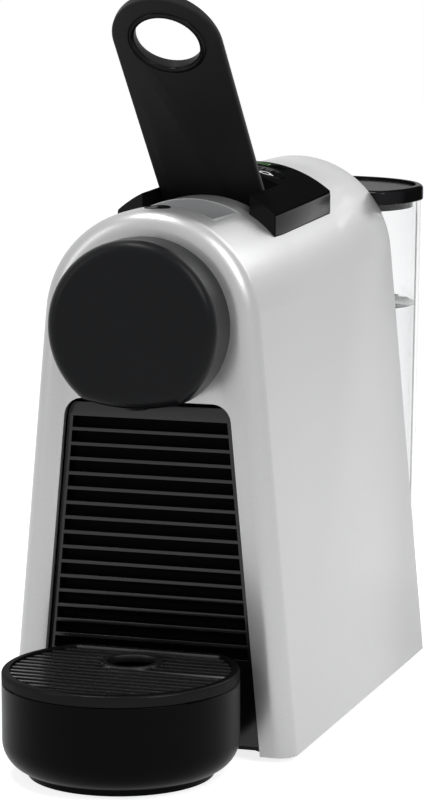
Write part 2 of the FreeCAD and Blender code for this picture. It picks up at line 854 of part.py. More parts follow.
def water_tank():
    outer = tank_outline("tank_foot_radius", "tank_top_radius", "dock_height", tank_top, tank_front)
    inner = tank_outline("tank_foot_radius - tank_wall", "tank_top_radius - tank_wall", tank_floor,
                         f"{tank_top} + flat_draft", f"{tank_front} + tank_wall")
    soft_outer = rounded(outer, "3 * tank_wall", upright)
    soft_inner = rounded(inner, "2 * tank_wall", upright)
    neck = cylinder("z", "neck_radius", "neck_length + tank_wall", "0", tank_y, neck_low)
    throat = cylinder("z", "neck_radius - neck_wall", f"dock_height + throat_top - {neck_low}", "0", tank_y, neck_low)
    return cut(fuse(cut(soft_outer, soft_inner), neck), throat)


def tank_valve():
    low = f"{neck_low} + neck_wall / 2"
    stem, wide = "stopper_radius / 2", "neck_radius + flange_reach"
    seat = f"{tank_floor} + seal_height"
    top = f"{tank_floor} + stopper_height"
    points = [("0", low), (stem, low), (stem, seat), (wide, seat), (wide, f"{seat} + flange_thick"),
              ("stopper_radius", top), ("0", top)]
    return turned(points, "0", tank_y, "0")


def valve_seal():
    ring = cylinder("z", "neck_radius + seal_reach", "seal_height", "0", tank_y, tank_floor)
    return cut(ring, cylinder("z", "neck_radius - neck_wall", high, "0", tank_y, "0"))


def tank_lid():
    front = f"{tank_front} - lid_gap"
    plate = tank_outline("lid_radius", "lid_radius + flat_draft", tank_top, "lid_height", front)
    soft = rounded(plate, "3 * tank_wall", upright)
    top = size("lid_height")
    crown = rounded(soft, "lid_round", lambda edge: edge.BoundBox.ZMin > top - 0.01)
    dish = tank_outline("lid_radius - lid_rim", "lid_radius - lid_rim + flat_draft", "lid_height - lid_dish",
                        "lid_height + cut_past", f"{front} + lid_rim")
    inset = "tank_top_radius - tank_wall - lid_step - lid_gap"
    plug = tank_outline(inset, f"{inset} + plug_draft", f"{tank_top} - lid_plug", tank_top,
                        f"{tank_front} + tank_wall + lid_gap")
    bored = tank_outline(f"{inset} - plug_wall", f"{inset} - plug_wall + flat_draft", f"{tank_top} - 2 * lid_plug",
                         tank_top, f"{tank_front} + tank_wall + lid_gap + plug_wall")
    hollow = rounded(dish, "2 * tank_wall", upright)
    return fuse(cut(crown, hollow), cut(rounded(plug, "2 * tank_wall", upright), bored))


def louver_grooves():
    body = doc.addObject("PartDesign::Body", "grooves")
    low = "louver_first - louver_pitch * louver_count + louver_land"
    top = f"{low} + louver_pitch - louver_land"
    front = "0"
    deep = "panel_setback + louver_depth"
    points = [(front, low), (deep, f"{low} - louver_fall"), (deep, f"{top} - 2 * louver_fall"), (front, top)]
    pad = body.newObject("PartDesign::Pad", "groove")
    sketch = polygon(body, "YZ_Plane", points)
    pad.Profile = sketch
    pad.Midplane = True
    bind(pad, {"Length": "body_width"})
    doc.recompute()
    rows = body.newObject("PartDesign::LinearPattern", "rows")
    rows.Originals = [pad]
    rows.Direction = (sketch, ["V_Axis"])
    bind(rows, {"Length": "louver_pitch * (louver_count - 1)", "Occurrences": "louver_count"})
    body.Tip = rows
    return bind(body, {"Placement.Base.y": front_y})


def louver_panel():
    slab = opening_outline("drawer_gap", sled_bottom, "panel_setback", panel_back)
    inside = opening_outline("panel_border", sled_bottom, "0", panel_back)
    above = box(-high, high, "0", high, "opening_top - panel_drop", high)
    return cut(slab, common(louver_grooves(), inside), sled_tongue(), above)


def capsule_bin():
    side = "bin_width / 2"
    outer = box(f"-{side}", side, panel_back, bin_back, sled_top, "bin_top")
    inner = box(f"-{side} + bin_wall", f"{side} - bin_wall", f"{panel_back} + bin_wall", f"{bin_back} - bin_wall",
                f"{sled_top} + bin_wall", high)
    return cut(outer, inner)


def sled_tongue():
    # A tongue that runs out under the panel, for the tray's foot to hook over.
    side = "tongue_width / 2"
    return box(f"-{side}", side, "panel_setback - tongue_reach", panel_back, sled_bottom, sled_top)


def drawer_sled():
    side = "bin_width / 2 + sled_margin"
    return fuse(box(f"-({side})", side, panel_back, bin_back, sled_bottom, sled_top), sled_tongue())


def drip_tray():
    whole = cylinder("z", "tray_radius", f"{seam_height} - tray_lift", "0", "-tray_centre", "tray_lift")
    low, seam = size("tray_lift"), size(seam_height)
    bowl = rounded(whole, "tray_round", lambda edge: edge.BoundBox.ZMax < low + 0.01)
    soft = rounded(bowl, "seam_round", lambda edge: edge.BoundBox.ZMin > seam - 0.01)
    foot = cylinder("z", "tray_radius - tray_round + foot_step", "tray_round / 2", "0", "-tray_centre", "tray_foot")
    back = box(-high, high, tray_back, high, -high, high)
    hollow = cut(cylinder("z", "tray_radius - tray_wall", high, "0", "-tray_centre", "tray_floor"),
                 box(-high, high, f"{tray_back} - tray_wall", high, -high, high))
    side = "tongue_width / 2 + tongue_gap"
    recess = box(f"-({side})", side, "panel_setback - tongue_reach - tongue_gap", high, -high,
                 f"{sled_top} + tongue_gap")
    return cut(fuse(soft, foot), back, hollow, recess)


def drip_grid():
    plate = cylinder("z", "tray_radius", "grid_height", "0", "-tray_centre", seam_height)
    top, seam = size("tray_top"), size(seam_height)
    crown = rounded(plate, "seam_round * 2", lambda edge: edge.BoundBox.ZMin > top - 0.01)
    soft = rounded(crown, "seam_round", lambda edge: edge.BoundBox.ZMax < seam + 0.01)
    well = cylinder("z", "tray_radius - grid_rim", high, "0", "-tray_centre", "0")
    hub = cylinder("z", "grid_hole + grid_hole_wall", high, "0", hole_place, "0")
    count = int(size("bar_count"))
    gaps = []
    for number in range(count):
        middle = f"-tray_centre + bar_pitch * ({number} - (bar_count - 1) / 2)"
        gaps.append(box("-tray_radius", "tray_radius", f"{middle} - (bar_pitch - bar_width) / 2",
                        f"{middle} + (bar_pitch - bar_width) / 2", "0", high))
    slots = cut(common(fuse(*gaps), well), hub, box(-high, high, f"{tray_back} - grid_rim", high, "0", high))
    below = cut(cylinder("z", "tray_radius - grid_rim", "grid_height - bar_depth", "0", "-tray_centre", seam_height),
                box(-high, high, f"{tray_back} - grid_rim", high, "0", high))
    hole = cylinder("z", "grid_hole", high, "0", hole_place, "0")
    sunk = cut(cylinder("z", "tray_radius - grid_rim", high, "0", "-tray_centre", "tray_top - grid_recess"), hub,
               box(-high, high, f"{tray_back} - grid_rim", high, "0", high))
    return cut(soft, slots, below, hole, sunk, box(-high, high, tray_back, high, -high, high))


def on_hinge(item, angle="lever_open"):
    # Turns a piece drawn closed, about the lever's axis, to the open position.
    item.Placement = FreeCAD.Placement(FreeCAD.Vector(), FreeCAD.Rotation(FreeCAD.Vector(-1, 0, 0), size(angle)))
    return bind(item, {
        "Placement.Base.y": f"{front_y} + hinge_place",
        "Placement.Base.z": hinge_height,
        "Placement.Rotation.Angle": angle,
    })


def lever():
    half = "lever_width / 2"
    top = "lever_rise + lever_thick"
    plate = box(f"-{half}", half, "-lever_reach", "lever_tail", "lever_rise", top, base=at_hinge)
    ring = cylinder("z", half, "lever_thick", "0", "-lever_reach", "lever_rise", base=at_hinge)
    crown = cylinder("y", lever_crown, high, "0", -high / 2, f"{top} - {lever_crown}", base=at_hinge)
    finger = cylinder("z", "lever_hole", high, "0", "-lever_reach", "0", base=at_hinge)
    sharp = cut(common(fuse(plate, ring), crown), finger)
    under = size("lever_rise")
    blade = rounded(sharp, "lever_round", lambda edge: edge.BoundBox.ZMax < under + 0.01)
    skirt = lever_skirt()
    webs = [cheek(x) for x in (f"-({cheek_outside})", "cheek_inside")]
    bores = [cylinder("x", "hinge_radius", high, -high / 2, "0", "0", base=at_hinge),
             cylinder("x", "crank_radius", high, -high / 2, f"-{crank_y}", crank_z, base=at_hinge)]
    return on_hinge(cut(fuse(blade, skirt, *webs), *bores))


def lever_skirt():
    half = "lever_width / 2 - deck_gap"
    outer = cylinder("x", "skirt_radius + skirt_thick", f"2 * ({half})", f"-({half})", "0", "0", base=at_hinge)
    inner = cylinder("x", "skirt_radius", high, -high / 2, "0", "0", base=at_hinge)
    far = "2 * (skirt_radius + skirt_thick)"
    points = [("0", "0"), (f"{far} * sin(skirt_sweep)", f"{far} * cos(skirt_sweep)"), (far, far),
              (f"{far} * sin(skirt_start)", f"{far} * cos(skirt_start)")]
    wedge = prism("YZ_Plane", points, "lever_width", x="-lever_width / 2", base=at_hinge)
    return common(cut(outer, inner), wedge)


def cheek(x):
    # One web of the lever: round the hinge, out to the crank pin, up to the blade and skirt.
    middle = "skirt_radius + skirt_thick / 2"
    points = [
        ("-hub_radius + 0.2", "1"),
        (f"-{crank_y} - boss_radius + 0.2", f"{crank_z} - 1"),
        (f"-{crank_y}", f"{crank_z} + boss_radius"),
        ("lever_tail - 3", f"{crank_z} + boss_radius"),
        ("lever_tail - 3", "lever_rise + 1"),
        (f"({middle}) * sin(22)", f"({middle}) * cos(22)"),
        (f"({middle}) * sin(skirt_sweep - 2)", f"({middle}) * cos(skirt_sweep - 2)"),
        ("hub_radius * 0.78", "-hub_radius * 0.6"),
    ]
    web = prism("YZ_Plane", points, "cheek_thick", x=x, base=at_hinge)
    hub = cylinder("x", "hub_radius", "cheek_thick", x, "0", "0", base=at_hinge)
    boss = cylinder("x", "boss_radius", "cheek_thick", x, f"-{crank_y}", crank_z, base=at_hinge)
    return fuse(web, hub, boss)


def hinge_pins():
    length = f"{frame_outside} - cheek_inside"
    items = []
    for x in (f"-{frame_outside}", "cheek_inside"):
        items.append(cylinder("x", "hinge_radius", length, x, "hinge_place", hinge_height))
    return items


def crank_pin():
    return cylinder("x", "crank_radius", f"2 * {cheek_outside}", f"-{cheek_outside}", f"hinge_place + {crank_y}",
                    f"{hinge_height} + {crank_z}")


def capsule_cage():
    back = "cage_length"
    points = [("cage_bore", "0"), ("cage_radius", "0"), ("cage_radius", back), ("0", back), ("0", "cage_depth"),
              ("cage_bore", "cage_depth")]
    return turned(points, "0", "cage_open", brew_height, along_y=True)


def injector():
    face = "cage_open + cage_depth - disc_thick"
    disc = cylinder("y", "cage_bore - disc_gap", "disc_thick", "0", face, brew_height)
    needles = []
    for turned_by in ("90", "210", "330"):
        spike = doc.addObject("Part::Cone", "needle")
        turn = FreeCAD.Rotation(FreeCAD.Vector(1, 0, 0), 90)
        spike.Placement = FreeCAD.Placement(FreeCAD.Vector(), turn)
        needles.append(bind(spike, {
            "Radius1": "needle_radius",
            "Radius2": "needle_tip",
            "Height": "needle_length",
            "Placement.Base.x": f"needle_circle * cos({turned_by})",
            "Placement.Base.y": f"{front_y} + {face}",
            "Placement.Base.z": f"{brew_height} + needle_circle * sin({turned_by})",
        }))
    return fuse(disc, *needles)


def yoke():
    middle = f"(hinge_place + {crank_y})"
    half = "yoke_width / 2"
    top = f"{hinge_height} + crank_length + crank_radius + yoke_rim"
    block = box(f"-{half}", half, f"{middle} - yoke_length / 2", f"{middle} + yoke_length / 2", brew_height, top)
    gap = "crank_radius + crank_gap"
    slot = box(-high, high, f"{middle} - ({gap})", f"{middle} + ({gap})",
               f"{hinge_height} + {crank_z} - crank_radius - yoke_play",
               f"{hinge_height} + crank_length + crank_radius + yoke_play")
    return cut(block, cylinder("y", "cage_radius", high, "0", "0", brew_height), slot)


def build():
    single = {
        "outer_shell": outer_shell, "base_plate": base_plate, "rear_cover": rear_cover, "cord_gland": cord_gland,
        "head_housing": head_housing, "head_cap": head_cap, "coffee_spout": coffee_spout,
        "extraction_plate": extraction_plate, "brew_frame": brew_frame, "capsule_chute": capsule_chute,
        "top_deck": top_deck, "status_lens": status_lens, "control_board": control_board, "inner_wall": inner_wall,
        "boiler_block": boiler_block, "pump_body": pump_body, "pump_coil": pump_coil, "pump_stand": pump_stand,
        "flow_meter": flow_meter, "power_board": power_board, "pump_feed": pump_feed, "boiler_feed": boiler_feed,
        "tank_feed": tank_feed, "tank_dock": tank_dock, "valve_socket": valve_socket, "water_tank": water_tank,
        "tank_valve": tank_valve, "valve_seal": valve_seal, "tank_lid": tank_lid, "louver_panel": louver_panel,
        "capsule_bin": capsule_bin, "drawer_sled": drawer_sled, "drip_tray": drip_tray,
        "drip_grid": drip_grid, "lever": lever, "crank_pin": crank_pin, "capsule_cage": capsule_cage,
        "injector": injector, "yoke": yoke,
    }
    repeated = {
        "foot": feet, "case_screw": screws, "button_switch": switches, "button": buttons, "heater": heaters,
        "thermostat": thermostats, "pump_mount": pump_mounts, "hinge_pin": hinge_pins,
    }
    nodes = {name: make() for name, make in single.items()}
    for name, make in repeated.items():
        for number, item in enumerate(make(), start=1):
            nodes[f"{name}_{number}"] = item
    for name, item in nodes.items():
        item.Label = name
    doc.recompute()
    return nodes


def check(nodes):
    faults = [item.Label for item in doc.Objects if "Invalid" in item.State or "Error" in item.State]
    for name, item in nodes.items():
        if item.Shape.isNull() or not item.Shape.isValid() or len(item.Shape.Solids) != 1:
            faults.append(f"{name}: {len(item.Shape.Solids)} solids")
    if faults:
        raise RuntimeError(f"faulty pieces: {faults}")


def export(nodes):
    os.makedirs("parts", exist_ok=True)
    for name, item in nodes.items():
        item.Shape.exportStep(f"parts/{name}.step")
    print(len(nodes), "pieces written")


fill_sheet()
pieces = build()
check(pieces)
export(pieces)
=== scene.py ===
import json
import math
import bpy
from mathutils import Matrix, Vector


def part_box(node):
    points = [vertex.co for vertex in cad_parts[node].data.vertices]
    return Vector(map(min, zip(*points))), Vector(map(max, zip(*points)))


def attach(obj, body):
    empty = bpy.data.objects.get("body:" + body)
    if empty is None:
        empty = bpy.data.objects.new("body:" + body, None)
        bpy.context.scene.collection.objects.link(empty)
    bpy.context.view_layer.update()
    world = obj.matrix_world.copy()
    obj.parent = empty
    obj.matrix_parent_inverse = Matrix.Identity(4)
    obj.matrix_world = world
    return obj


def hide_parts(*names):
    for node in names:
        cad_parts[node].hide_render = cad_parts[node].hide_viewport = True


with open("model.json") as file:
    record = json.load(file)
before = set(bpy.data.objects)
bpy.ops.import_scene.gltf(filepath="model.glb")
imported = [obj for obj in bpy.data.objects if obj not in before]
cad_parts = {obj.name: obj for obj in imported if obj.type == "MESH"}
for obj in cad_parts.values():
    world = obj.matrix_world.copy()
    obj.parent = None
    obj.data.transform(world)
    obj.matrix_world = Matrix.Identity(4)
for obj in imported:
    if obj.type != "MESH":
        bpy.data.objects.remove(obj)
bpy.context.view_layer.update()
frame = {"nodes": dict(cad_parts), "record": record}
nodes = frame["nodes"]
print("frame loaded with", len(nodes), "nodes")

mm = 0.001
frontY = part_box("outer_shell")[0][1]  # the body's front plane

# camera at the photograph's viewing angle
photoCamera = {
    "place": (0.3789, -1.1578, 0.3037),
    "turn": 18.25,
    "tilt": 8.50,
    "lens": 144.3,
    "shiftX": -0.0101,
    "shiftY": -0.0185,
    "farthest": 60,
}


def placeCamera():
    data = bpy.data.cameras.new("photoCamera")
    data.lens = photoCamera["lens"]
    data.shift_x = photoCamera["shiftX"]
    data.shift_y = photoCamera["shiftY"]
    data.clip_end = photoCamera["farthest"]
    camera = bpy.data.objects.new("photoCamera", data)
    camera.location = photoCamera["place"]
    camera.rotation_euler = (math.radians(90 - photoCamera["tilt"]), 0, math.radians(photoCamera["turn"]))
    bpy.context.scene.collection.objects.link(camera)
    bpy.context.scene.camera = camera


# soft studio: a panel overhead, three more around the machine, and an even grey world
studio = {
    "worldGrey": 0.42,
    "panels": {
        "overhead": {"place": (-0.28, -0.25, 1.25), "size": (0.34, 0.24), "power": 5},
        "frontLeft": {"place": (-1.15, -1.05, 0.70), "size": (0.35, 1.1), "power": 3.0},
        "rightSide": {"place": (0.75, -0.45, 0.85), "size": (0.40, 0.7), "power": 5},
        "backRight": {"place": (0.60, 1.06, 0.92), "size": (0.60, 0.8), "power": 3},
    },
    "aim": (0, 0, 0.14),
    "floorSize": 60,
    "floorTone": (0.55, 0.55, 0.55, 1),
    "floorGlow": 0.82,
}


# 1 for rays from the camera, off a gloss or through a clear wall: they find a white studio
def seenRays(tree):
    path = tree.nodes.new("ShaderNodeLightPath")
    seen = path.outputs["Is Camera Ray"]
    for label in ("Is Glossy Ray", "Is Transmission Ray"):
        either = tree.nodes.new("ShaderNodeMath")
        either.operation = "MAXIMUM"
        tree.links.new(seen, either.inputs[0])
        tree.links.new(path.outputs[label], either.inputs[1])
        seen = either.outputs[0]
    return seen


def hangPanels():
    for name, panel in studio["panels"].items():
        lamp = bpy.data.lights.new(name, "AREA")
        lamp.shape = "RECTANGLE"
        lamp.size, lamp.size_y = panel["size"]
        lamp.energy = panel["power"]
        holder = bpy.data.objects.new(name, lamp)
        holder.location = panel["place"]
        aim = Vector(studio["aim"]) - Vector(panel["place"])
        holder.rotation_euler = aim.to_track_quat("-Z", "Y").to_euler()
        bpy.context.scene.collection.objects.link(holder)


def lightWorld():
    world = bpy.data.worlds.new("studioWorld")
    bpy.context.scene.world = world
    world.use_nodes = True
    tree = world.node_tree
    tree.nodes.clear()
    even = tree.nodes.new("ShaderNodeBackground")
    even.inputs["Strength"].default_value = studio["worldGrey"]
    white = tree.nodes.new("ShaderNodeBackground")
    white.inputs["Color"].default_value = (1, 1, 1, 1)
    mix = tree.nodes.new("ShaderNodeMixShader")
    out = tree.nodes.new("ShaderNodeOutputWorld")
    tree.links.new(seenRays(tree), mix.inputs[0])
    tree.links.new(even.outputs[0], mix.inputs[1])
    tree.links.new(white.outputs[0], mix.inputs[2])
    tree.links.new(mix.outputs[0], out.inputs[0])


def deselectAll():
    bpy.ops.object.select_all(action="DESELECT")


def layFloor():
    deselectAll()
    bpy.ops.mesh.primitive_plane_add(size=studio["floorSize"], location=(0, 0, 0))
    floor = bpy.context.object
    floor.name = "floor"
    material = bpy.data.materials.new("paleFloor")
    material.use_nodes = True
    tree = material.node_tree
    tree.nodes.clear()
    matt = tree.nodes.new("ShaderNodeBsdfDiffuse")
    matt.inputs["Color"].default_value = studio["floorTone"]
    glow = tree.nodes.new("ShaderNodeEmission")
    strength = tree.nodes.new("ShaderNodeMath")
    strength.operation = "MULTIPLY"
    strength.inputs[1].default_value = studio["floorGlow"]
    tree.links.new(seenRays(tree), strength.inputs[0])
    tree.links.new(strength.outputs[0], glow.inputs["Strength"])
    both = tree.nodes.new("ShaderNodeAddShader")
    out = tree.nodes.new("ShaderNodeOutputMaterial")
    tree.links.new(matt.outputs[0], both.inputs[0])
    tree.links.new(glow.outputs[0], both.inputs[1])
    tree.links.new(both.outputs[0], out.inputs[0])
    floor.data.materials.append(material)


placeCamera()
hangPanels()
lightWorld()
layFloor()
bpy.context.scene.view_settings.view_transform = "Standard"
print("camera, lights and floor placed")

# shared effects, each one shader node group
surfaceOutputs = [
    ("Color", "NodeSocketColor"),
    ("Roughness", "NodeSocketFloat"),
    ("Height", "NodeSocketFloat"),
]
noiseSpan = (0.3, 0.7)  # where most values of a noise lie
mixFirst, mixSecond, mixOut = 6, 7, 2  # the colour sockets of a Mix node


def newGroup(name, inputs, outputs):
    tree = bpy.data.node_groups.new(name, "ShaderNodeTree")
    for label, kind, value in inputs:
        socket = tree.interface.new_socket(name=label, in_out="INPUT", socket_type=kind)
        if value is not None:
            socket.default_value = value
    for label, kind in outputs:
        tree.interface.new_socket(name=label, in_out="OUTPUT", socket_type=kind)
    start = tree.nodes.new("NodeGroupInput")
    end = tree.nodes.new("NodeGroupOutput")
    return tree, start.outputs, end.inputs


def addNoise(tree, vector, scale, detail, roughness=0.5):
    noise = tree.nodes.new("ShaderNodeTexNoise")
    noise.inputs["Detail"].default_value = detail
    noise.inputs["Roughness"].default_value = roughness
    tree.links.new(vector, noise.inputs["Vector"])
    tree.links.new(scale, noise.inputs["Scale"])
    return noise.outputs["Fac"]


def addRange(tree, value, low, high):
    spread = tree.nodes.new("ShaderNodeMapRange")
    spread.inputs["From Min"].default_value, spread.inputs["From Max"].default_value = noiseSpan
    tree.links.new(value, spread.inputs["Value"])
    tree.links.new(low, spread.inputs["To Min"])
    tree.links.new(high, spread.inputs["To Max"])
    return spread.outputs["Result"]


def addColourMix(tree, factor, first, second):
    mix = tree.nodes.new("ShaderNodeMix")
    mix.data_type = "RGBA"
    tree.links.new(factor, mix.inputs["Factor"])
    tree.links.new(first, mix.inputs[mixFirst])
    tree.links.new(second, mix.inputs[mixSecond])
    return mix.outputs[mixOut]


def addVectorMath(tree, operation, *values):
    step = tree.nodes.new("ShaderNodeVectorMath")
    step.operation = operation
    for value, socket in zip(values, step.inputs):
        tree.links.new(value, socket)
    return step.outputs


# moulded plastic: spark-eroded grain, slow drift in tone and sheen
mouldNoise = {"grainDetail": 3.0, "grainRoughness": 0.6, "driftDetail": 4.0}


def makeMouldGrain():
    tree, given, result = newGroup("mouldGrain", [
        ("Vector", "NodeSocketVector", None),
        ("Grain Scale", "NodeSocketFloat", 2200.0),
        ("Drift Scale", "NodeSocketFloat", 18.0),
        ("Tone", "NodeSocketColor", (0.02, 0.02, 0.02, 1)),
        ("Tone Drift", "NodeSocketColor", (0.03, 0.03, 0.03, 1)),
        ("Smooth", "NodeSocketFloat", 0.3),
        ("Dull", "NodeSocketFloat", 0.45),
    ], surfaceOutputs)
    grain = addNoise(tree, given["Vector"], given["Grain Scale"], mouldNoise["grainDetail"],
                     mouldNoise["grainRoughness"])
    drift = addNoise(tree, given["Vector"], given["Drift Scale"], mouldNoise["driftDetail"])
    tree.links.new(addColourMix(tree, drift, given["Tone"], given["Tone Drift"]), result["Color"])
    tree.links.new(addRange(tree, drift, given["Smooth"], given["Dull"]), result["Roughness"])
    tree.links.new(grain, result["Height"])
    return tree


# metallic paint: fine flakes, each a little lighter or darker
paintNoise = {"driftDetail": 3.0}


def makePaintFlake():
    tree, given, result = newGroup("paintFlake", [
        ("Vector", "NodeSocketVector", None),
        ("Flake Scale", "NodeSocketFloat", 3600.0),
        ("Drift Scale", "NodeSocketFloat", 9.0),
        ("Dark Flake", "NodeSocketColor", (0.5, 0.5, 0.5, 1)),
        ("Light Flake", "NodeSocketColor", (0.7, 0.7, 0.7, 1)),
        ("Smooth", "NodeSocketFloat", 0.3),
        ("Dull", "NodeSocketFloat", 0.4),
    ], surfaceOutputs)
    flake = tree.nodes.new("ShaderNodeTexVoronoi")
    tree.links.new(given["Vector"], flake.inputs["Vector"])
    tree.links.new(given["Flake Scale"], flake.inputs["Scale"])
    split = tree.nodes.new("ShaderNodeSeparateColor")
    tree.links.new(flake.outputs["Color"], split.inputs[0])
    drift = addNoise(tree, given["Vector"], given["Drift Scale"], paintNoise["driftDetail"])
    tone = addColourMix(tree, split.outputs["Red"], given["Dark Flake"], given["Light Flake"])
    tree.links.new(tone, result["Color"])
    tree.links.new(addRange(tree, drift, given["Smooth"], given["Dull"]), result["Roughness"])
    tree.links.new(split.outputs["Green"], result["Height"])
    return tree


# turned or drawn metal: streaks along Y
drawnNoise = {"lineDetail": 2.0, "stretch": (1, 0.03, 1)}


def makeDrawnLines():
    tree, given, result = newGroup("drawnLines", [
        ("Vector", "NodeSocketVector", None),
        ("Line Scale", "NodeSocketFloat", 900.0),
        ("Dark", "NodeSocketColor", (0.45, 0.45, 0.45, 1)),
        ("Light", "NodeSocketColor", (0.65, 0.65, 0.65, 1)),
        ("Smooth", "NodeSocketFloat", 0.22),
        ("Dull", "NodeSocketFloat", 0.42),
    ], surfaceOutputs)
    stretch = tree.nodes.new("ShaderNodeMapping")
    stretch.inputs["Scale"].default_value = drawnNoise["stretch"]
    tree.links.new(given["Vector"], stretch.inputs["Vector"])
    lines = addNoise(tree, stretch.outputs[0], given["Line Scale"], drawnNoise["lineDetail"])
    tree.links.new(addColourMix(tree, lines, given["Dark"], given["Light"]), result["Color"])
    tree.links.new(addRange(tree, lines, given["Smooth"], given["Dull"]), result["Roughness"])
    tree.links.new(lines, result["Height"])
    return tree


# polish near a plane or an axis, duller further away, for slats and bars with dull hollows
def makeEdgePolish():
    tree, given, result = newGroup("edgePolish", [
        ("Vector", "NodeSocketVector", None),
        ("Middle", "NodeSocketVector", (0, 0, 0)),
        ("Weights", "NodeSocketVector", (1, 1, 1)),
        ("Polished To", "NodeSocketFloat", 0.5),
        ("Dull From", "NodeSocketFloat", 1.0),
        ("Polish", "NodeSocketFloat", 0.5),
        ("Dull Polish", "NodeSocketFloat", 0.0),
    ], [("Coat", "NodeSocketFloat")])
    offset = addVectorMath(tree, "SUBTRACT", given["Vector"], given["Middle"])
    weighed = addVectorMath(tree, "MULTIPLY", offset["Vector"], given["Weights"])
    away = addVectorMath(tree, "LENGTH", weighed["Vector"])
    fade = tree.nodes.new("ShaderNodeMapRange")
    tree.links.new(away["Value"], fade.inputs["Value"])
    tree.links.new(given["Polished To"], fade.inputs["From Min"])
    tree.links.new(given["Dull From"], fade.inputs["From Max"])
    tree.links.new(given["Polish"], fade.inputs["To Min"])
    tree.links.new(given["Dull Polish"], fade.inputs["To Max"])
    tree.links.new(fade.outputs["Result"], result["Coat"])
    return tree


groups = {
    "mouldGrain": makeMouldGrain(),
    "paintFlake": makePaintFlake(),
    "drawnLines": makeDrawnLines(),
    "edgePolish": makeEdgePolish(),
}
print("effects made:", len(groups), "node groups")

# where the polished edges lie, in millimetres from the body's front plane
polishedEdges = {"slatFace": 3.0, "trayAxis": -28.2}

